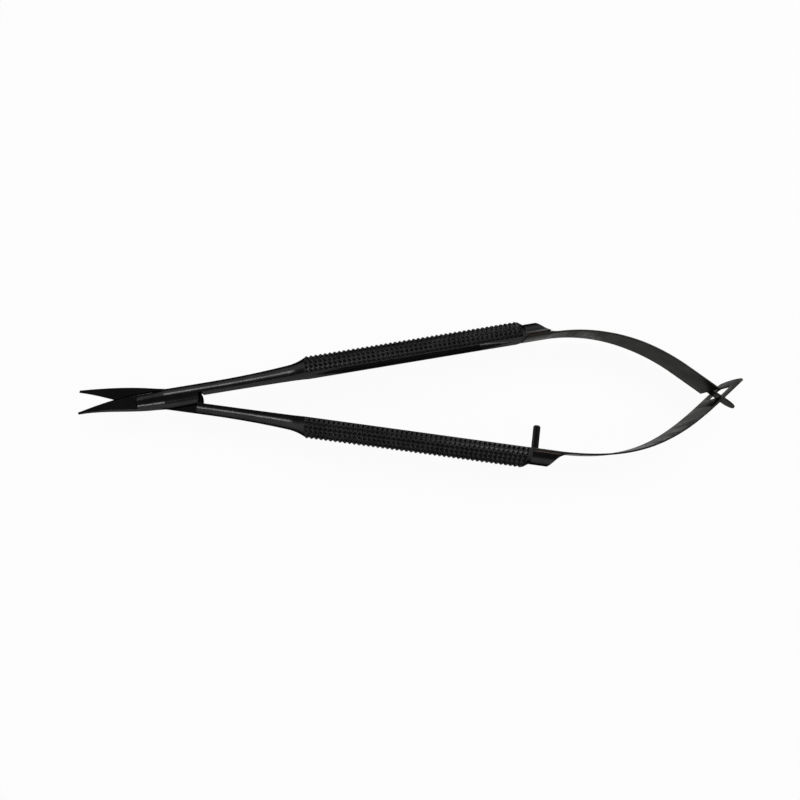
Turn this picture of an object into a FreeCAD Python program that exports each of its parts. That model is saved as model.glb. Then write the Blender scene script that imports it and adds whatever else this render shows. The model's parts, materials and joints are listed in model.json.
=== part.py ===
"""Spring-handled micro scissors, lying on their side with the blades held open by two leaf springs.

Millimetres. X runs from the blade points to the tail, Y across the opening, Z along the pivot screw.
Each half is a round rod that keeps its +Y side as shank and handle, and its +Z side as the lap boss and
blade. The lower half is turned over about X, its smooth end is longer to hold the stop pin, and its point
leans the other way. Each blank is modelled closed, with the pivot at the origin and its inner flat on Y = 0,
and is then swung open about the pivot.
"""

import FreeCAD, Part
import collections
import math
import os

import Sketcher

Vector = FreeCAD.Vector
X_AXIS = Vector(1, 0, 0)
Y_AXIS = Vector(0, 1, 0)
Z_AXIS = Vector(0, 0, 1)

# Driving dimensions: alias, value, meaning
SIZES = [
    ("overall_length", 148.7, "blade points to the end of the lower spring"),
    ("half_opening", 8.8, "degrees each half stands open at rest"),
    ("boss_radius", 2.33, "rod radius at the lap joint and along the shank"),
    ("boss_reach", 7.4, "pivot to the turned end of the lap boss"),
    ("boss_clearance", 0.06, "running gap round the turned end of the boss"),
    ("boss_front", 6.7, "pivot to the blade end of the boss"),
    ("boss_shoulder", 6.1, "pivot to the bevel at the blade end of the boss"),
    ("shoulder_radius", 1.7, "boss radius at that bevel"),
    ("front_radius", 1.1, "boss radius at its blade end"),
    ("lap_gap", 0.02, "each boss and blade stands this far off the lap plane"),
    ("shank_straight", 10.0, "pivot to the start of the gentle flare"),
    ("shank_end", 27.5, "pivot to the end of the gentle flare"),
    ("shank_end_radius", 3.07, "rod radius there"),
    ("knurl_start", 31.4, "pivot to the first knurl ring"),
    ("flare_radius", 4.15, "rod radius where the knurl starts"),
    ("knurl_radius", 4.5, "radius over the knurl points"),
    ("knurl_depth", 0.38, "depth of the knurl grooves"),
    ("knurl_pitch", 1.07, "length of one knurl ring"),
    ("knurl_rings", 46.0, "number of knurl rings"),
    ("knurl_columns", 12.0, "number of knurl columns round the half circle"),
    ("collar_radius", 4.3, "radius at the last knurl ring, where the collar starts"),
    ("collar_length", 1.2, "tapered collar between the knurl and the smooth end"),
    ("end_radius", 3.5, "rod radius of the smooth end, and of the rod under the knurl"),
    ("upper_end", 4.1, "last knurl ring to the scarf of the upper half"),
    ("lower_end", 5.4, "last knurl ring to the scarf of the lower half"),
    ("scarf_length", 1.1, "length of the oblique scarf"),
    ("scarf_foot", 1.3, "height above the spring seat where the scarf turns into its fillet"),
    ("foot_length", 1.6, "length of the fillet beyond the scarf"),
    ("end_lip", 0.05, "thickness left at the end of the fillet"),
    ("hollow_start", 32.3, "pivot to the blade-side end of the milled hollow"),
    ("hollow_margin", 1.0, "solid left between the hollow and the spring seat"),
    ("hollow_radius", 3.25, "radius of the hollow"),
    ("hollow_runout", 7.5, "length of each pointed end of the hollow"),
    ("blade_heel", 0.5, "pivot to the heel of the blade, inside the boss"),
    ("blade_root", 6.0, "pivot to the root section of the blade"),
    ("blade_middle", 13.0, "pivot to the middle section of the blade"),
    ("blade_reach", 19.5, "pivot to the point of the blade"),
    ("edge_heel", 2.15, "cutting edge height at the heel"),
    ("edge_root", 2.32, "cutting edge height at the root"),
    ("edge_middle", 1.64, "cutting edge height at the middle"),
    ("edge_tip", 0.82, "cutting edge height at the point"),
    ("back_heel", 2.1, "back edge depth at the heel"),
    ("back_root", 1.76, "back edge depth at the root"),
    ("back_middle", 0.7, "back edge depth at the middle"),
    ("back_tip", 0.28, "back edge height at the point"),
    ("tip_lean", 0.45, "both points lean this far towards the lower handle"),
    ("blade_thick", 1.1, "blade thickness at the heel and the root"),
    ("blade_thick_middle", 0.85, "blade thickness at the middle"),
    ("blade_thick_tip", 0.3, "blade thickness at the point"),
    ("edge_bevel", 0.55, "width of the bevel behind the cutting edge"),
    ("back_bevel", 0.35, "width of the bevel along the back"),
    ("tip_bevel", 0.05, "both bevels at the point"),
    ("screw_radius", 1.0, "pivot screw, journal and thread"),
    ("screw_clearance", 0.02, "running gap round the journal and under the head"),
    ("screw_depth", 1.5, "thread depth above the lap plane"),
    ("head_radius", 1.5, "screw head"),
    ("head_clearance", 0.12, "gap round the screw head"),
    ("head_thick", 0.62, "screw head thickness"),
    ("head_seat", 0.86, "lap plane to the floor of the counterbore"),
    ("driver_slot", 0.4, "width of the screwdriver slot"),
    ("driver_depth", 0.3, "depth of the screwdriver slot"),
    ("pin_radius", 0.8, "stop pin"),
    ("pin_place", 83.0, "pivot to the stop pin along the handle"),
    ("pin_length", 5.45, "stop pin above the handle's flat"),
    ("pin_depth", 2.1, "stop pin below the handle's flat"),
    ("pin_chamfer", 0.3, "chamfer on the free end of the pin"),
    ("seat_depth", 0.65, "spring seat, sunk below the handle's flat"),
    ("tab_thick", 0.8, "spring thickness at its seat, proud of the handle's flat"),
    ("tab_halfwidth", 2.8, "half width of the spring at its seat"),
    ("leaf_thick", 0.38, "thickness of the leaf"),
    ("leaf_thinning", 2.2, "length over which the tab thins into the leaf"),
    ("upper_halfwidth", 3.75, "half width of the upper leaf"),
    ("upper_widening", 20.0, "length over which the upper leaf gets there from its tab"),
    ("lower_halfwidth", 4.4, "half width of the lower leaf"),
    ("lower_widening", 27.0, "length over which the lower leaf gets there from its tab"),
    ("crossing_inset", 4.3, "lower spring's end to the crossing of the springs, along X"),
    ("crossing_drop", 1.2, "crossing below the axis"),
    ("upper_leave", -1.0, "degrees that the upper leaf leaves its handle towards the axis"),
    ("upper_root_pull", 4.0, "stiffness of the curve at the upper root"),
    ("upper_tail_pull", 17.3, "stiffness of the curve at the upper tail"),
    ("upper_tail_run", 10.2, "straight tail before the crossing"),
    ("upper_tail_angle", 37.5, "degrees of the upper spring's straight tail"),
    ("lower_leave", 1.3, "degrees that the lower leaf leaves its handle towards the axis"),
    ("lower_root_pull", 16.4, "stiffness of the curve at the lower root"),
    ("lower_tail_pull", 14.7, "stiffness of the curve at the lower tail"),
    ("lower_tail_run", 2.2, "straight tail before the crossing"),
    ("lower_tail_angle", 40.3, "degrees of the lower spring's straight tail"),
    ("tongue_shoulder", 1.9, "shoulders of the upper spring to the crossing"),
    ("tongue_reach", 4.65, "crossing to the tip of the tongue"),
    ("tongue_halfwidth", 1.35, "widest half width of the tongue"),
    ("tongue_straight", 2.3, "crossing to the start of the rounded tip of the tongue"),
    ("neck_halfwidth", 1.15, "half width of the neck below the shoulders"),
    ("neck_end", 0.9, "the neck turns into the tongue this far each side of the crossing"),
    ("window_before", 1.3, "window of the lower spring, before the crossing"),
    ("window_bar", 2.6, "end bar between the window and the end"),
    ("window_halfwidth", 2.3, "half width of the window"),
    ("window_corner", 0.8, "corner radius of the window and of the end"),
    ("end_bulge", 0.35, "rounding of the lower spring's end"),
]

FAR = 60.0  # well past the rod on every side, for cuts that run out into the open
LEAF_STATIONS = 24  # points along each face of a leaf
CORNER_STEPS = 5  # straight steps in each rounded corner of a spring

os.makedirs("parts", exist_ok=True)
doc = FreeCAD.newDocument("micro_scissors")
sheet = doc.addObject("Spreadsheet::Sheet", "sizes")
size = {}
for row, (alias, value, meaning) in enumerate(SIZES, start=1):
    sheet.set("A%d" % row, meaning)
    sheet.set("B%d" % row, str(value))
    sheet.setAlias("B%d" % row, alias)
    size[alias] = value
doc.recompute()


def terms(text):
    """Signed words of a sum such as 'knurl_start + upper_end' or '-boss_reach'."""
    words = text.replace("-", " - ").replace("+", " + ").split()
    sign = 1
    for word in words:
        if word in "+-":
            sign = 1 if word == "+" else -1
        else:
            yield sign, word
            sign = 1


def amount(text):
    """Number that a sum of sheet aliases and plain numbers stands for."""
    return sum(sign * (size[word] if word in size else float(word)) for sign, word in terms(text))


def formula(text):
    """The same sum as an expression on the spreadsheet."""
    words = ["%s%s" % ("+" if sign > 0 else "-", "sizes." + word if word in size else word)
             for sign, word in terms(text)]
    return "0" + "".join(words)


# Sums of driving dimensions that several sub-parts share
KNURL_END = "knurl_start + knurl_length"
size["knurl_length"] = size["knurl_pitch"] * size["knurl_rings"]
sheet.set("B%d" % (len(SIZES) + 1), str(size["knurl_length"]))
sheet.setAlias("B%d" % (len(SIZES) + 1), "knurl_length")
doc.recompute()
SEAT_START = KNURL_END + " + collar_length"
HOLLOW_END = KNURL_END + " - hollow_margin"


def end_places(name):
    """Where the scarf of one half starts, where it ends, and where the handle ends, as sums."""
    scarf_start = KNURL_END + " + " + name + "_end"
    scarf_end = scarf_start + " + scarf_length"
    return scarf_start, scarf_end, scarf_end + " + foot_length"


def origin_plane(body, role):
    return [item for item in body.Origin.OriginFeatures if item.Role == role][0]


def tangent_middle(start, direction, end):
    """A point halfway along the arc that leaves start in this direction and ends at end."""
    chord = end - start
    turn = math.atan2(direction.cross(chord).z, direction.dot(chord))
    mid_direction = FreeCAD.Rotation(Z_AXIS, math.degrees(turn / 2)).multVec(direction).normalize()
    return start + mid_direction * (chord.Length / 2 / math.cos(turn / 2))


def add_sketch(body, name, role, corners, arcs=None, lift=None):
    """Closed outline on an origin plane of the body.

    corners are pairs of sums; the edge after corner i is a line, or an arc where arcs[i] says:
    ("tangent",) leaves the edge before it smoothly, and ("about", radius, middle) turns about the origin.
    """
    arcs = arcs or {}
    sketch = body.newObject("Sketcher::SketchObject", name)
    sketch.AttachmentSupport = [(origin_plane(body, role), "")]
    sketch.MapMode = "FlatFace"
    if lift:
        sketch.setExpression("AttachmentOffset.Base.z", formula(lift))
    points = [Vector(amount(x), amount(y), 0) for x, y in corners]
    count = len(points)
    ends = []
    direction = None
    for i, start in enumerate(points):
        end = points[(i + 1) % count]
        if i not in arcs:
            edge = Part.LineSegment(start, end)
            direction = (end - start).normalize()
            first, last = 1, 2
        else:
            if arcs[i][0] == "tangent":
                middle = tangent_middle(start, direction, end)
            else:
                middle = arcs[i][2] * amount(arcs[i][1])
            edge = Part.Arc(start, middle, end)
            arc = edge.toShape().Curve
            turn = (middle - start).cross(end - middle).z
            first, last = (1, 2) if turn > 0 else (2, 1)
            direction = (arc.Center - end).cross(Z_AXIS).normalize() * (1 if turn > 0 else -1)
        ends.append((sketch.addGeometry(edge, False), first, last))
    for i in range(count):
        here, first, last = ends[i]
        before, _, before_last = ends[i - 1]
        kind = "Tangent" if i in arcs and arcs[i][0] == "tangent" else "Coincident"
        sketch.addConstraint(Sketcher.Constraint(kind, before, before_last, here, first))
    for i, (x, y) in enumerate(corners):
        here, first, _ = ends[i]
        for axis, text in (("DistanceX", x), ("DistanceY", y)):
            index = sketch.addConstraint(Sketcher.Constraint(axis, here, first, amount(text)))
            sketch.setExpression("Constraints[%d]" % index, formula(text))
        if i in arcs and arcs[i][0] == "about":
            sketch.addConstraint(Sketcher.Constraint("DistanceX", here, 3, 0.0))
    return sketch


def add_disc(body, name, radius, lift):
    """Circle about the pivot, parallel to the lap plane."""
    sketch = body.newObject("Sketcher::SketchObject", name)
    sketch.AttachmentSupport = [(origin_plane(body, "XY_Plane"), "")]
    sketch.MapMode = "FlatFace"
    sketch.setExpression("AttachmentOffset.Base.z", formula(lift))
    circle = sketch.addGeometry(Part.Circle(Vector(), Z_AXIS, amount(radius)), False)
    sketch.addConstraint(Sketcher.Constraint("Coincident", circle, 3, -1, 1))
    index = sketch.addConstraint(Sketcher.Constraint("Radius", circle, amount(radius)))
    sketch.setExpression("Constraints[%d]" % index, formula(radius))
    return sketch


def add_pocket(body, name, sketch, both_ways=False, flip=False):
    pocket = body.newObject("PartDesign::Pocket", name)
    pocket.Profile = sketch
    pocket.Type = 1
    pocket.Midplane = both_ways
    pocket.Reversed = flip
    return pocket


def add_turned(body, kind, name, sketch):
    """Revolution or Groove of the sketch about its own horizontal axis."""
    turned = body.newObject("PartDesign::" + kind, name)
    turned.Profile = sketch
    turned.ReferenceAxis = (sketch, ["H_Axis"])
    turned.Angle = 360
    return turned


def blade_section(body, name, place, edge, back, thick, edge_bevel, back_bevel):
    """Blade section across X: flat on the lap plane, sharp at the edge, bevelled at the back."""
    top = "lap_gap + " + thick
    corners = [(back, "lap_gap"), (edge, "lap_gap"), (edge + " - " + edge_bevel, top),
               (back + " + " + back_bevel, top), (back, top + " - " + back_bevel)]
    return add_sketch(body, name, "YZ_Plane", corners, lift=place)


def make_blank(name, lean):
    """Body of one half without its knurl and hollow: rod, lap boss, blade, scarf and spring seat.

    name is upper or lower, and lean is added to the heights of the blade's point.
    """
    label = name + "_half"
    scarf_start, scarf_end, handle_end = end_places(name)
    body = doc.addObject("PartDesign::Body", label + "_blank")
    profile = add_sketch(
        body, label + "_profile", "XY_Plane",
        [("-boss_front", "0"), ("-boss_front", "front_radius"), ("-boss_shoulder", "shoulder_radius"),
         ("0", "boss_radius"), ("shank_straight", "boss_radius"), ("shank_end", "shank_end_radius"),
         ("knurl_start", "flare_radius"), ("knurl_start", "end_radius"), (KNURL_END, "end_radius"),
         (KNURL_END, "collar_radius"), (SEAT_START, "end_radius"), (handle_end, "end_radius"),
         (handle_end, "0")],
        arcs={4: ("tangent",), 5: ("tangent",)})
    add_turned(body, "Revolution", label + "_rod", profile)

    # The flat side goes, all but the round end of the boss
    wide = str(FAR)
    far = handle_end + " + " + wide
    flat = add_sketch(
        body, label + "_flat_outline", "XY_Plane",
        [("0", "boss_reach"), ("boss_reach", "0"), (far, "0"), (far, "-" + wide),
         ("-" + wide, "-" + wide), ("-" + wide, wide), ("0", wide)],
        arcs={0: ("about", "boss_reach", Vector(-1, -1, 0).normalize())})
    add_pocket(body, label + "_flat", flat, both_ways=True)

    # The half of the joint below the lap plane goes
    recess = add_disc(body, label + "_recess_outline", "boss_reach + boss_clearance", "lap_gap")
    add_pocket(body, label + "_recess", recess)

    # Blade, lofted through four sections from the heel inside the boss to the point
    heel = blade_section(body, label + "_blade_heel", "-blade_heel", "edge_heel", "-back_heel",
                         "blade_thick", "edge_bevel", "back_bevel")
    root = blade_section(body, label + "_blade_root", "-blade_root", "edge_root", "-back_root",
                         "blade_thick", "edge_bevel", "back_bevel")
    middle = blade_section(body, label + "_blade_middle", "-blade_middle", "edge_middle", "-back_middle",
                           "blade_thick_middle", "edge_bevel", "back_bevel")
    point = blade_section(body, label + "_blade_point", "-blade_reach", "edge_tip" + lean, "back_tip" + lean,
                          "blade_thick_tip", "tip_bevel", "tip_bevel")
    blade = body.newObject("PartDesign::AdditiveLoft", label + "_blade")
    blade.Profile = heel
    blade.Sections = [root, middle, point]

    # Scarf with its concave foot, and the seat of the spring's tab
    scarf = add_sketch(
        body, label + "_scarf_outline", "XY_Plane",
        [(scarf_start, "end_radius"), (scarf_end, "seat_depth + scarf_foot"),
         (handle_end, "seat_depth + end_lip"), (far, "seat_depth + end_lip"),
         (far, "end_radius + " + wide), (scarf_start, "end_radius + " + wide)],
        arcs={1: ("tangent",)})
    add_pocket(body, label + "_scarf", scarf, both_ways=True)
    seat = add_sketch(
        body, label + "_seat_outline", "XY_Plane",
        [(SEAT_START, "-" + wide), (far, "-" + wide), (far, "seat_depth"), (SEAT_START, "seat_depth")])
    add_pocket(body, label + "_seat", seat, both_ways=True)
    return body


def cylinder(name, radius, length, base, axis=Z_AXIS):
    """Part cylinder bound to the sheet; base is three sums and the axis is Z or Y."""
    item = doc.addObject("Part::Cylinder", name)
    item.setExpression("Radius", formula(radius))
    item.setExpression("Height", formula(length))
    item.Placement = FreeCAD.Placement(Vector(), FreeCAD.Rotation(Z_AXIS, axis))
    for letter, text in zip("xyz", base):
        item.setExpression("Placement.Base." + letter, formula(text))
    return item


def combine(kind, name, base, tool):
    item = doc.addObject("Part::" + kind, name)
    item.Base = base
    item.Tool = tool
    return item


def knurl_solid():
    """Half sleeve of four-sided points, every face a plane."""
    columns = int(size["knurl_columns"])
    rings = int(size["knurl_rings"])
    valley = size["knurl_radius"] - size["knurl_depth"]

    def place(ring, column, radius):
        angle = math.pi * column / columns
        along = size["knurl_start"] + ring * size["knurl_pitch"]
        return Vector(along, radius * math.sin(angle), radius * math.cos(angle))

    def face(points):
        return Part.Face(Part.makePolygon(points + points[:1]))

    faces = []
    for ring in range(rings):
        for column in range(columns):
            base = [place(ring + a, column + b, valley) for a, b in ((0, 0), (1, 0), (1, 1), (0, 1))]
            top = place(ring + 0.5, column + 0.5, size["knurl_radius"])
            for i in range(4):
                faces.append(face([base[i], base[(i + 1) % 4], top]))
    for ring in (0, rings):
        faces.append(face([place(ring, column, valley) for column in range(columns + 1)]))
    flat = [place(ring, 0, valley) for ring in range(rings + 1)]
    flat += [place(ring, columns, valley) for ring in range(rings, -1, -1)]
    faces.append(face(flat))
    shell = Part.makeCompound(faces)
    shell.sewShape()
    solid = Part.Solid(shell)
    if solid.Volume < 0:
        solid.reverse()
    return solid


def hollow_cutter():
    """Turned tool for the milled hollow: a straight bore with long pointed ends."""
    body = doc.addObject("PartDesign::Body", "hollow_tool")
    profile = add_sketch(
        body, "hollow_profile", "XY_Plane",
        [(HOLLOW_END, "0"), ("hollow_start", "0"), ("hollow_start + hollow_runout", "hollow_radius"),
         (HOLLOW_END + " - hollow_runout", "hollow_radius")])
    add_turned(body, "Revolution", "hollow_turned", profile)
    return body


knurl = doc.addObject("Part::Feature", "knurl")
knurl.Shape = knurl_solid()
hollow = hollow_cutter()
hollow_knurl = combine("Cut", "hollow_knurl", knurl, hollow)


def swing(side):
    """Placement of a blank in the assembly: turned over for the lower half, then swung open."""
    opened = FreeCAD.Rotation(Z_AXIS, side * size["half_opening"])
    turned = FreeCAD.Rotation(X_AXIS, 0 if side > 0 else 180)
    return FreeCAD.Placement(pivot, opened.multiply(turned))


opening = math.radians(size["half_opening"])
tip_height = size["edge_tip"] + size["tip_lean"]
tip_reach = size["blade_reach"] * math.cos(opening) + tip_height * math.sin(opening)
row_angle = math.pi / size["knurl_columns"] / 2
lap_height = size["knurl_radius"] * math.cos(row_angle)  # it lies on the lowest row of knurl points
pivot = Vector(tip_reach - size["overall_length"] / 2, 0, lap_height)


def make_half(name, side, lean, holes):
    """One half: the blank with its holes and hollow, and the knurl with the same hollow, as one piece."""
    label = name + "_half"
    shape = make_blank(name, lean)
    for number, hole in enumerate(holes, start=1):
        shape = combine("Cut", label + "_drilled_%d" % number, shape, hole)
    shape = combine("Cut", label + "_hollowed", shape, hollow)
    shape = combine("Fuse", label + "_whole", shape, hollow_knurl)
    shape.Label = label
    shape.Placement = swing(side)
    return shape


thread_hole = cylinder("thread_hole", "screw_radius", "screw_depth + 1", ("0", "0", "-1"))
journal_bore = cylinder("journal_bore", "screw_radius + screw_clearance", "boss_radius + 1",
                        ("0", "0", "-1"))
counterbore = cylinder("counterbore", "head_radius + head_clearance", "boss_radius", ("0", "0", "head_seat"))
pin_hole = cylinder("pin_hole", "pin_radius", "pin_depth + 1", ("pin_place", "-1", "0"), Y_AXIS)

upper_half = make_half("upper", 1, " - tip_lean", [thread_hole])
lower_half = make_half("lower", -1, " + tip_lean", [journal_bore, counterbore, pin_hole])


def make_screw():
    """Pivot screw, head down: threaded into the upper boss, running in the lower one."""
    under_head = "-head_seat - screw_clearance"
    head_face = under_head + " - head_thick"
    shank = cylinder("screw_shank", "screw_radius", "screw_depth + head_seat + screw_clearance",
                     ("0", "0", under_head))
    head = cylinder("screw_head", "head_radius", "head_thick", ("0", "0", head_face))
    turned = combine("Fuse", "screw_turned", shank, head)
    slot = doc.addObject("Part::Box", "screw_slot")
    slot.setExpression("Length", formula("head_radius + head_radius"))
    slot.setExpression("Width", formula("driver_slot"))
    slot.setExpression("Height", formula("driver_depth"))
    slot.setExpression("Placement.Base.x", formula("-head_radius"))
    slot.setExpression("Placement.Base.y", "-sizes.driver_slot / 2")
    slot.setExpression("Placement.Base.z", formula(head_face))
    screw = combine("Cut", "screw_slotted", turned, slot)
    screw.Label = "pivot_screw"
    screw.Placement = FreeCAD.Placement(pivot, FreeCAD.Rotation(Z_AXIS, size["half_opening"]))
    return screw


def make_pin():
    """Stop pin, in the frame of the lower blank: it stands on the flat and points across the axis."""
    rod = cylinder("pin_rod", "pin_radius", "pin_length + pin_depth",
                   ("pin_place", "-pin_length", "0"), Y_AXIS)
    doc.recompute()
    free_end = [i for i, edge in enumerate(rod.Shape.Edges, start=1)
                if abs(edge.BoundBox.YMax + size["pin_length"]) < 1e-6][0]
    pin = doc.addObject("Part::Chamfer", "pin_chamfered")
    pin.Base = rod
    pin.Edges = [(free_end, size["pin_chamfer"], size["pin_chamfer"])]
    pin.Label = "stop_pin"
    pin.Placement = swing(-1)
    return pin


pivot_screw = make_screw()
stop_pin = make_pin()


Leaf = collections.namedtuple("Leaf", "name tab_start tab_end curve tip tail meet")


def leaf_path(name, side, tail_past, crossing):
    """Middle line of one leaf at rest, mirrored to +Y: tab, curve, straight tail past the crossing."""
    out = Vector(math.cos(opening), math.sin(opening), 0)
    across = Vector(-math.sin(opening), math.cos(opening), 0)
    lift = across * (size["seat_depth"] - size["tab_thick"] + size["leaf_thick"] / 2)
    tab_start = out * amount(SEAT_START) + lift
    tab_end = out * amount(end_places(name)[2]) + lift
    leave = opening - math.radians(size[name + "_leave"])
    fall = math.radians(size[name + "_tail_angle"])
    tail = Vector(math.cos(fall), -math.sin(fall), 0)
    meet = Vector(crossing.x, side * crossing.y, 0)
    straight = meet - tail * size[name + "_tail_run"]
    root_pole = tab_end + Vector(math.cos(leave), math.sin(leave), 0) * size[name + "_root_pull"]
    curve = Part.BezierCurve()
    curve.setPoles([tab_end, root_pole, straight - tail * size[name + "_tail_pull"], straight])
    return Leaf(name, tab_start, tab_end, curve, meet + tail * tail_past, tail, meet)


def leaf_strip(path):
    """Side view of the spring as one face: the thick tab thins on its outer side into the leaf."""
    _, tab_start, tab_end, curve, tip, tail, _ = path
    half = size["leaf_thick"] / 2
    extra = size["tab_thick"] - size["leaf_thick"]
    length = curve.length()
    outer = []
    inner = []
    for i in range(LEAF_STATIONS + 1):
        along = length * i / LEAF_STATIONS
        parameter = curve.parameterAtDistance(along)
        middle = curve.value(parameter)
        direction = curve.tangent(parameter)[0]
        normal = Vector(-direction.y, direction.x, 0)
        share = max(0.0, 1 - along / size["leaf_thinning"])
        outer.append(middle + normal * (half + extra * share * share))
        inner.append(middle - normal * half)
    out = (tab_end - tab_start).normalize()
    across = Vector(-out.y, out.x, 0)
    normal = Vector(-tail.y, tail.x, 0) * half
    leave = curve.tangent(0)[0]

    def smooth(points, start, end):
        spline = Part.BSplineCurve()
        spline.interpolate(Points=points, InitialTangent=start, FinalTangent=end)
        return spline.toShape()

    outer[0] = tab_end + across * (half + extra)
    inner[0] = tab_end - across * half
    thinning = math.atan2(2 * extra, size["leaf_thinning"])
    fall = FreeCAD.Rotation(Z_AXIS, -math.degrees(thinning)).multVec(leave)
    tab_outer = tab_start + across * (half + extra)
    tab_inner = tab_start - across * half
    edges = [Part.LineSegment(tab_outer, outer[0]).toShape(),
             smooth(outer, fall, tail),
             Part.LineSegment(outer[-1], tip + normal).toShape(),
             Part.LineSegment(tip + normal, tip - normal).toShape(),
             Part.LineSegment(tip - normal, inner[-1]).toShape(),
             smooth(inner, leave, tail),
             Part.LineSegment(inner[0], tab_inner).toShape(),
             Part.LineSegment(tab_inner, tab_outer).toShape()]
    return Part.Face(Part.Wire(Part.__sortEdges__(edges)))


def plate(points, middle, direction, thickness):
    """Flat prism whose outline is given as (along, across) about middle, in the plane of direction and Z."""
    normal = Vector(-direction.y, direction.x, 0)
    corners = [middle + direction * along + Z_AXIS * across for along, across in points]
    face = Part.Face(Part.makePolygon(corners + corners[:1]))
    face.translate(normal * (-thickness / 2))
    return face.extrude(normal * thickness)


def leaf_blank(path):
    """The strip at its full width, narrowed towards the tab that sits on the handle."""
    wide = size[path.name + "_halfwidth"]
    narrow = size["tab_halfwidth"]
    leaf = leaf_strip(path).extrude(Z_AXIS * (2 * wide))
    leaf.translate(Z_AXIS * -wide)
    tab = path.tab_end - path.tab_start
    reach = tab.Length
    full = reach + size[path.name + "_widening"]
    for sign in (1, -1):
        side = [(-1, sign * narrow), (reach, sign * narrow), (full, sign * wide),
                (full, sign * 2 * wide), (-1, sign * 2 * wide)]
        leaf = leaf.cut(plate(side, path.tab_start, tab.normalize(), FAR))
    return leaf


def quarter(middle_along, middle_across, radius_along, radius_across, first, steps):
    """Points of a quarter ellipse from the angle first, in quarter turns, both ends included."""
    turns = [math.pi / 2 * (first + step / steps) for step in range(steps + 1)]
    return [(middle_along + radius_along * math.cos(turn), middle_across + radius_across * math.sin(turn))
            for turn in turns]


def trim_both_sides(leaf, side, beyond, path):
    """Cut away all that lies outside a half outline, above and below the middle of the leaf."""
    wide = 2 * size[path.name + "_halfwidth"]
    for sign in (1, -1):
        outline = [(along, sign * across) for along, across in side]
        outline += [(beyond, 0), (beyond, sign * wide), (side[0][0], sign * wide)]
        leaf = leaf.cut(plate(outline, path.meet, path.tail, 4 * size["leaf_thick"]))
    return leaf


def make_upper_spring(crossing):
    """Upper spring: square shoulders, then a narrow neck and a round-ended tongue."""
    reach = size["tongue_reach"]
    path = leaf_path("upper", 1, reach, crossing)
    neck = size["neck_halfwidth"]
    widest = size["tongue_halfwidth"]
    straight = size["tongue_straight"]
    side = [(-size["tongue_shoulder"], neck), (-size["neck_end"], neck), (size["neck_end"], widest)]
    side += reversed(quarter(straight, 0, reach - straight, widest, 0, CORNER_STEPS))
    return trim_both_sides(leaf_blank(path), side, 2 * reach, path)


def make_lower_spring(crossing):
    """Lower spring: full width to a bulged end, with a window that the tongue passes through."""
    fall = math.radians(size["lower_tail_angle"])
    past = (size["crossing_inset"] - size["leaf_thick"] / 2 * math.sin(fall)) / math.cos(fall)
    path = leaf_path("lower", -1, past, crossing)
    corner = size["window_corner"]
    bulge = size["end_bulge"]
    flat = size["lower_halfwidth"] - corner
    side = list(reversed(quarter(past - bulge - corner, flat, corner, corner, 0, CORNER_STEPS)))
    for step in range(1, CORNER_STEPS + 1):
        share = 1 - step / CORNER_STEPS
        side.append((past - bulge * share * share, flat * share))
    leaf = trim_both_sides(leaf_blank(path), side, 2 * past, path)

    start = corner - size["window_before"]
    end = past - size["window_bar"] - corner
    across = size["window_halfwidth"] - corner
    centres = [(end, across), (start, across), (start, -across), (end, -across)]
    window = []
    for first, (along, level) in enumerate(centres):
        window += quarter(along, level, corner, corner, first, CORNER_STEPS)
    return leaf.cut(plate(window, path.meet, path.tail, 4 * size["leaf_thick"]))


crossing = Vector(size["overall_length"] - tip_reach - size["crossing_inset"], -size["crossing_drop"], 0)
upper_spring = doc.addObject("Part::Feature", "upper_leaf")
upper_spring.Shape = make_upper_spring(crossing)
upper_spring.Label = "upper_spring"
upper_spring.Placement = FreeCAD.Placement(pivot, FreeCAD.Rotation())

# The lower spring is drilled for the stop pin, which passes through its tab
lower_leaf = doc.addObject("Part::Feature", "lower_leaf")
lower_leaf.Shape = make_lower_spring(crossing).mirror(Vector(), Y_AXIS)
doc.recompute()
tab_drill = doc.addObject("Part::Feature", "tab_drill")
drill = pin_hole.Shape.copy()
drill.Placement = FreeCAD.Placement(Vector(), swing(-1).Rotation).multiply(drill.Placement)
tab_drill.Shape = drill
lower_spring = combine("Cut", "lower_spring_drilled", lower_leaf, tab_drill)
lower_spring.Label = "lower_spring"
lower_spring.Placement = FreeCAD.Placement(pivot, FreeCAD.Rotation())

doc.recompute()
for item in doc.Objects:
    if "Invalid" in item.State or "Error" in item.State:
        raise RuntimeError("%s failed: %s" % (item.Label, item.State))
for item in (upper_half, lower_half, upper_spring, lower_spring, pivot_screw, stop_pin):
    if item.Shape.isNull() or not item.Shape.isValid():
        raise RuntimeError("%s has no valid shape" % item.Label)
    box = item.Shape.BoundBox
    print("%-13s solids %d faces %5d volume %8.2f  x %7.2f..%7.2f  y %6.2f..%6.2f  z %5.2f..%5.2f" % (
        item.Label, len(item.Shape.Solids), len(item.Shape.Faces), item.Shape.Volume,
        box.XMin, box.XMax, box.YMin, box.YMax, box.ZMin, box.ZMax))
    item.Shape.exportStep("parts/%s.step" % item.Label)
print("pivot at %.4f %.4f %.4f" % tuple(pivot))
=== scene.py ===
"""Looks of the micro scissors: black coated steel with a satin sheen, lying open on a white surface."""

import json
import math

import bmesh
import bpy
from mathutils import Matrix, Vector, noise


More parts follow.
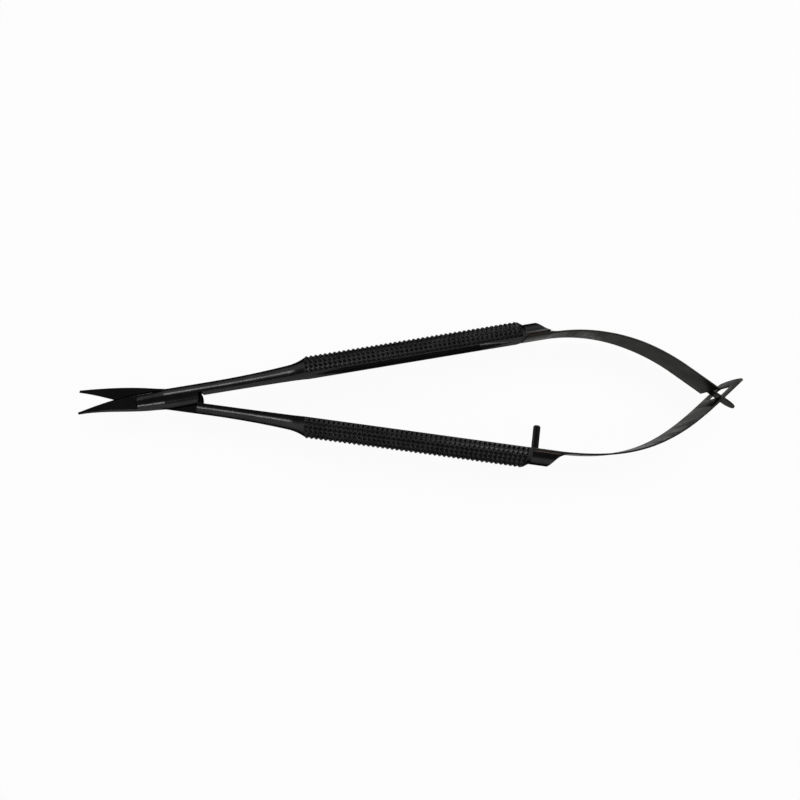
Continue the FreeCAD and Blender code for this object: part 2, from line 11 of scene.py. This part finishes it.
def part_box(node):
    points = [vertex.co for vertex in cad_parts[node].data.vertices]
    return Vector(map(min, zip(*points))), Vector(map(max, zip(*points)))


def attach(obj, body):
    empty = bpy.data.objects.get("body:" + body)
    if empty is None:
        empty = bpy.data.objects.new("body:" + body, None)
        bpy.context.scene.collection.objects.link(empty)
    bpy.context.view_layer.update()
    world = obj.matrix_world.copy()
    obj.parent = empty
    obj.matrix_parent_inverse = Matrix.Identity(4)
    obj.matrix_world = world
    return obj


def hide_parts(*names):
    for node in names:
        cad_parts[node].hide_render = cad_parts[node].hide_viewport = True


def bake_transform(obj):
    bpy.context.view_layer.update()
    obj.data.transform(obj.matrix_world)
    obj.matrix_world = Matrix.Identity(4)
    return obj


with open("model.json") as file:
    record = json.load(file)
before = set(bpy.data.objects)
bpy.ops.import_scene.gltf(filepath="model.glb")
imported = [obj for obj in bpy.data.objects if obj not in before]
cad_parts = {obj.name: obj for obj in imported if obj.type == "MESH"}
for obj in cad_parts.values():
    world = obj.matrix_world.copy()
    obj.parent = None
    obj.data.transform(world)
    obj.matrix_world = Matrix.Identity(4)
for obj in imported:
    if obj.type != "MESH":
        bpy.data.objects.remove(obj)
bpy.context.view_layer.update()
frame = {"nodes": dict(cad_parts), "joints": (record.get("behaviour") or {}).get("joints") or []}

# Camera, from the photograph: a close wide lens above the lower handle
CAMERA_PLACE = (-0.00723, -0.01819, 0.13235)
CAMERA_TURN_DEG = (7.687, -1.759, -1.147)
CAMERA_NEAR = 0.005
FOCAL_PX = 571.0
FRAME_PX = 800.0
SENSOR_MM = 36.0

# Floor and backdrop, in metres
FLOOR_SIZE = 3.0
FLOOR_DROP = 0.00005
BACKDROP_RADIUS = 1.45
BACKDROP_HEIGHT = 0.64
BACKDROP_SIDES = 96
STAGE_WHITE = (0.9, 0.9, 0.9)  # matt colour of both where a lamp's shadow can show
FLOOR_GLOW = 0.95  # share of floor and backdrop that shows plain white; the rest takes the shadow

# Even room light, and the lamps: name, place, width and depth in metres, power in watts
ROOM_LIGHT = 0.15
LAMPS = (
    ("back_left", (-0.365, 0.51, 0.45), (0.15, 0.15), 0.9),
    ("front_left", (-0.385, -0.5, 0.487), (0.1, 0.12), 0.7),
    ("right_key", (0.4, 0.42, 0.45), (0.5, 0.5), 3.2),
)

PIVOT = Vector(frame["joints"][0]["pos_m"])
HALF_OPENING = math.radians(8.8)

# Places along a half from the pivot, as in the solids, in metres
SEAT_START = 0.08182
SEAT_END = {"upper": 0.0868, "lower": 0.0881}
SEAT_DEPTH = 0.00065
TAB_HALFWIDTH = 0.0028

# Braze fillets beside a tab
BRAZE_LEG = 0.00022  # both legs of a fillet, before its unevenness
BRAZE_HOLLOW = 0.35  # how far out the middle of the hollow face stands, as a share of a leg
BRAZE_UNEVEN = 0.25  # most that a leg grows or shrinks, as a share of itself
BRAZE_RIPPLES = 900  # noise lengths in a metre of fillet
BRAZE_STEPS = 40
BRAZE_SHARP_DEG = 50
SIDE_SHIFT = 3  # steps between the noise of the four fillets, so that no two are alike
HALF_SHIFT = 5
BRAZE_DARK = (0.012, 0.008, 0.007)
BRAZE_LIGHT = (0.075, 0.04, 0.028)
BRAZE_ROUGH = (0.35, 0.55)
BRAZE_METALLIC = 0.6  # duller than bare metal, for the thin black over it
BLOTCH_SCALE = 900
BLOTCH_DETAIL = 3

# Leaf springs
LEAF_SLICES = 60  # parts that the planes across a leaf cut it into
LEAF_BEVEL = 0.00006
LEAF_BEVEL_STEPS = 2
LEAF_SHARP_DEG = 35
LEAF_FLAT_DEG = 0.5  # facets that meet more flatly than this are joined into one
SAME_POINT = 1e-7
ON_PLANE = 1e-8

# Coatings: noise scales are in noise lengths to the metre
PATCH_SCALE = 260
PATCH_DETAIL = 3
GRAIN_DETAIL = 5
GRAIN_HEIGHT = 0.00001
EDGE_SAMPLES = 8
NOISE_LOW = 0.3  # nearly all of the noise lies between these two
NOISE_HIGH = 0.7
DARK_UNTIL = 0.35  # noise under this shows the dark tone, and over the next the light one
LIGHT_FROM = 0.68


def new_material(name):
    """Node material that holds an output node and a Principled shader joined to it."""
    material = bpy.data.materials.new(name)
    material.use_nodes = True
    nodes = material.node_tree.nodes
    nodes.clear()
    output = nodes.new("ShaderNodeOutputMaterial")
    shader = nodes.new("ShaderNodeBsdfPrincipled")
    material.node_tree.links.new(shader.outputs["BSDF"], output.inputs["Surface"])
    return material, nodes, material.node_tree.links, shader


def object_noise(nodes, links, scale, detail):
    """Noise that is fixed to the piece and moves with it."""
    place = nodes.new("ShaderNodeTexCoord")
    texture = nodes.new("ShaderNodeTexNoise")
    texture.inputs["Scale"].default_value = scale
    texture.inputs["Detail"].default_value = detail
    links.new(place.outputs["Object"], texture.inputs["Vector"])
    return texture.outputs["Fac"]


def remap(nodes, links, value, low, high):
    """Noise spread over the range from low to high."""
    span = nodes.new("ShaderNodeMapRange")
    span.inputs["From Min"].default_value = NOISE_LOW
    span.inputs["From Max"].default_value = NOISE_HIGH
    span.inputs["To Min"].default_value = low
    span.inputs["To Max"].default_value = high
    links.new(value, span.inputs["Value"])
    return span.outputs["Result"]


def colour_between(nodes, links, value, dark, light):
    """Noise turned into patches of two tones with soft borders."""
    ramp = nodes.new("ShaderNodeValToRGB")
    ramp.color_ramp.elements[0].position = DARK_UNTIL
    ramp.color_ramp.elements[0].color = (*dark, 1)
    ramp.color_ramp.elements[1].position = LIGHT_FROM
    ramp.color_ramp.elements[1].color = (*light, 1)
    links.new(value, ramp.inputs["Fac"])
    return ramp.outputs["Color"]


def coated_steel(name, dark, light, rough, grain_scale, relief, edge_radius, edge_tint):
    """Black coating over fine-ground steel.

    dark and light are the coating's two tones in cloudy patches, rough is its lowest and highest
    roughness, relief is the strength of its grain, edge_radius rounds the look of every sharp edge a
    little, and edge_tint is how much of its surroundings the coating shows at a grazing angle.
    """
    material, nodes, links, shader = new_material(name)
    patches = object_noise(nodes, links, PATCH_SCALE, PATCH_DETAIL)
    links.new(colour_between(nodes, links, patches, dark, light), shader.inputs["Base Color"])
    grain = object_noise(nodes, links, grain_scale, GRAIN_DETAIL)
    links.new(remap(nodes, links, grain, *rough), shader.inputs["Roughness"])
    shader.inputs["Metallic"].default_value = 1.0
    shader.inputs["Specular Tint"].default_value = (edge_tint, edge_tint, edge_tint, 1)
    rounded = nodes.new("ShaderNodeBevel")
    rounded.samples = EDGE_SAMPLES
    rounded.inputs["Radius"].default_value = edge_radius
    bump = nodes.new("ShaderNodeBump")
    bump.inputs["Strength"].default_value = relief
    bump.inputs["Distance"].default_value = GRAIN_HEIGHT
    links.new(grain, bump.inputs["Height"])
    links.new(rounded.outputs["Normal"], bump.inputs["Normal"])
    links.new(bump.outputs["Normal"], shader.inputs["Normal"])
    return material


def braze_metal():
    """Copper-brown braze that shows beside a tab through the thin black."""
    material, nodes, links, shader = new_material("braze_seam")
    blotches = object_noise(nodes, links, BLOTCH_SCALE, BLOTCH_DETAIL)
    tones = colour_between(nodes, links, blotches, BRAZE_DARK, BRAZE_LIGHT)
    links.new(tones, shader.inputs["Base Color"])
    shader.inputs["Metallic"].default_value = BRAZE_METALLIC
    links.new(remap(nodes, links, blotches, *BRAZE_ROUGH), shader.inputs["Roughness"])
    return material


def dress(node, material):
    """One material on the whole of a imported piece."""
    item = frame["nodes"][node]
    item.data.materials.clear()
    item.data.materials.append(material)


def new_piece(name, mesh, material):
    """Piece made of the mesh, in the scene, with one material on the whole of it."""
    piece = bpy.data.objects.new(name, mesh)
    bpy.context.scene.collection.objects.link(piece)
    mesh.materials.append(material)
    return piece


def round_edges(piece):
    """Fine rounding worked into the piece's sharp edges."""
    bevel = piece.modifiers.new("edges", "BEVEL")
    bevel.width = LEAF_BEVEL
    bevel.segments = LEAF_BEVEL_STEPS
    bevel.limit_method = "ANGLE"
    bevel.angle_limit = math.radians(LEAF_SHARP_DEG)
    bpy.context.view_layer.objects.active = piece
    piece.select_set(True)
    bpy.ops.object.modifier_apply(modifier=bevel.name)
    piece.select_set(False)


def shade(piece, sharp_deg):
    """Smooth shading that breaks at every edge sharper than the angle."""
    piece.data.shade_smooth()
    piece.data.set_sharp_from_angle(angle=math.radians(sharp_deg))


def leaf_spring(node, name, material):
    """The spring's own shape with fine rounded edges, sliced across into many parts."""
    source = frame["nodes"][node].data
    shape = bmesh.new()
    shape.from_mesh(source)
    bmesh.ops.remove_doubles(shape, verts=shape.verts, dist=SAME_POINT)
    flat = math.radians(LEAF_FLAT_DEG)
    bmesh.ops.dissolve_limit(shape, angle_limit=flat, verts=shape.verts, edges=shape.edges)
    mesh = bpy.data.meshes.new(name)
    shape.to_mesh(mesh)
    shape.free()
    piece = new_piece(name, mesh, material)
    round_edges(piece)

    low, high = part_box(node)
    shape = bmesh.new()
    shape.from_mesh(piece.data)
    for step in range(1, LEAF_SLICES):
        place = Vector((low.x + (high.x - low.x) * step / LEAF_SLICES, 0, 0))
        everything = shape.verts[:] + shape.edges[:] + shape.faces[:]
        bmesh.ops.bisect_plane(shape, geom=everything, dist=ON_PLANE, plane_co=place, plane_no=(1, 0, 0))
    bmesh.ops.triangulate(shape, faces=shape.faces)
    shape.to_mesh(piece.data)
    shape.free()
    shade(piece, LEAF_SHARP_DEG)
    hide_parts(node)
    return piece


def half_frame(side):
    """From a half's own frame (X along the half, Y outward from its flat) to the object's frame."""
    turn = Matrix.Rotation(side * HALF_OPENING, 4, "Z")
    mirror = Matrix.Diagonal((1, side, 1, 1))
    return Matrix.Translation(PIVOT) @ turn @ mirror


def fillet_outline(along, edge, leg):
    """Section through a fillet: its inner corner, the tab's leg, the hollow face and the seat's leg."""
    corner = Vector((along, SEAT_DEPTH, edge * TAB_HALFWIDTH))
    return (
        corner,
        corner + Vector((0, 0, edge * leg)),
        corner + Vector((0, -BRAZE_HOLLOW * leg, edge * BRAZE_HOLLOW * leg)),
        corner - Vector((0, leg, 0)),
    )


def braze_seam(body, side, material):
    """Two concave fillets of braze, one along each side of a tab on its seat."""
    shape = bmesh.new()
    place = half_frame(side)
    length = SEAT_END[body] - SEAT_START
    for edge in (-1, 1):
        rings = []
        for step in range(BRAZE_STEPS + 1):
            along = SEAT_START + length * step / BRAZE_STEPS
            spot = Vector((along * BRAZE_RIPPLES, edge * SIDE_SHIFT, side * HALF_SHIFT))
            leg = BRAZE_LEG * (1 + BRAZE_UNEVEN * noise.noise(spot))
            rings.append([shape.verts.new(place @ point) for point in fillet_outline(along, edge, leg)])
        for before, after in zip(rings, rings[1:]):
            for first in range(len(before)):
                second = (first + 1) % len(before)
                shape.faces.new((before[first], before[second], after[second], after[first]))
        shape.faces.new(rings[0])
        shape.faces.new(rings[-1][::-1])
    bmesh.ops.recalc_face_normals(shape, faces=shape.faces)
    mesh = bpy.data.meshes.new(body + "_braze")
    shape.to_mesh(mesh)
    shape.free()
    piece = new_piece(body + "_braze", mesh, material)
    shade(piece, BRAZE_SHARP_DEG)
    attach(piece, body)


def make_stage():
    """Pale floor, and a round backdrop that stands all about it."""
    white = stage_white()
    bpy.ops.mesh.primitive_plane_add(size=FLOOR_SIZE, location=(0, 0, -FLOOR_DROP))
    floor = bpy.context.object
    floor.name = "floor"
    bpy.ops.mesh.primitive_cylinder_add(
        vertices=BACKDROP_SIDES,
        radius=BACKDROP_RADIUS,
        depth=BACKDROP_HEIGHT,
        end_fill_type="NOTHING",
        location=(0, 0, BACKDROP_HEIGHT / 2),
    )
    backdrop = bpy.context.object
    backdrop.name = "backdrop"
    for surface in (floor, backdrop):
        surface.data.materials.append(white)


def stage_white():
    """Plain white to the eye and in reflections, and a matt pale surface to all other light."""
    material = bpy.data.materials.new("stage_white")
    material.use_nodes = True
    nodes = material.node_tree.nodes
    links = material.node_tree.links
    nodes.clear()
    output = nodes.new("ShaderNodeOutputMaterial")
    mix = nodes.new("ShaderNodeMixShader")
    diffuse = nodes.new("ShaderNodeBsdfDiffuse")
    diffuse.inputs["Color"].default_value = (*STAGE_WHITE, 1)
    glow = nodes.new("ShaderNodeEmission")
    glow.inputs["Strength"].default_value = 1.0
    links.new(plain_white_rays(nodes, links, FLOOR_GLOW), mix.inputs["Fac"])
    links.new(diffuse.outputs[0], mix.inputs[1])
    links.new(glow.outputs[0], mix.inputs[2])
    links.new(mix.outputs[0], output.inputs["Surface"])
    return material


def plain_white_rays(nodes, links, share):
    """Share for rays from the camera, from glossy surfaces and through clear ones, nought for the rest."""
    path = nodes.new("ShaderNodeLightPath")
    total = nodes.new("ShaderNodeMath")
    total.operation = "ADD"
    links.new(path.outputs["Is Camera Ray"], total.inputs[0])
    links.new(path.outputs["Is Glossy Ray"], total.inputs[1])
    whole = nodes.new("ShaderNodeMath")
    whole.operation = "ADD"
    whole.use_clamp = True
    links.new(total.outputs[0], whole.inputs[0])
    links.new(path.outputs["Is Transmission Ray"], whole.inputs[1])
    part = nodes.new("ShaderNodeMath")
    part.operation = "MULTIPLY"
    part.inputs[1].default_value = share
    links.new(whole.outputs[0], part.inputs[0])
    return part.outputs[0]


def make_world():
    """Dim even room light from all around."""
    world = bpy.data.worlds.new("studio")
    bpy.context.scene.world = world
    world.use_nodes = True
    room = world.node_tree.nodes["Background"]
    room.inputs["Color"].default_value = (1, 1, 1, 1)
    room.inputs["Strength"].default_value = ROOM_LIGHT


def add_light(name, place, size, power):
    """Area light aimed at the middle of the scissors, and not seen by the camera itself."""
    data = bpy.data.lights.new(name, "AREA")
    data.shape = "RECTANGLE"
    data.size, data.size_y = size
    data.energy = power
    lamp = bpy.data.objects.new(name, data)
    bpy.context.scene.collection.objects.link(lamp)
    lamp.location = place
    lamp.rotation_euler = (-Vector(place)).to_track_quat("-Z", "Y").to_euler()
    lamp.visible_camera = False


def make_camera():
    """Camera that sees the scissors as the photograph does."""
    data = bpy.data.cameras.new("camera")
    data.sensor_width = SENSOR_MM
    data.lens = FOCAL_PX / FRAME_PX * SENSOR_MM
    data.clip_start = CAMERA_NEAR
    camera = bpy.data.objects.new("camera", data)
    bpy.context.scene.collection.objects.link(camera)
    camera.location = CAMERA_PLACE
    camera.rotation_euler = [math.radians(angle) for angle in CAMERA_TURN_DEG]
    bpy.context.scene.camera = camera


black = coated_steel(
    "black_coating",
    dark=(0.026, 0.026, 0.026),
    light=(0.036, 0.036, 0.0365),
    rough=(0.2, 0.28),
    grain_scale=2200,
    relief=0.06,
    edge_radius=0.00013,
    edge_tint=0.25,
)
satin = coated_steel(
    "spring_coating",
    dark=(0.034, 0.034, 0.032),
    light=(0.046, 0.045, 0.042),
    rough=(0.28, 0.42),
    grain_scale=1600,
    relief=0.2,
    edge_radius=0.00004,
    edge_tint=0.47,
)
for node in ("upper_half", "lower_half", "pivot_screw", "stop_pin"):
    dress(node, black)
for node in ("upper_spring", "lower_spring"):
    dress(node, satin)
upper_leaf = leaf_spring("upper_spring", "upper_leaf", satin)
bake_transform(upper_leaf)
lower_leaf = leaf_spring("lower_spring", "lower_leaf", satin)
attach(lower_leaf, "lower")
copper = braze_metal()
braze_seam("upper", 1, copper)
braze_seam("lower", -1, copper)

make_stage()
make_world()
for lamp_values in LAMPS:
    add_light(*lamp_values)
make_camera()
bpy.context.scene.view_settings.view_transform = "Standard"
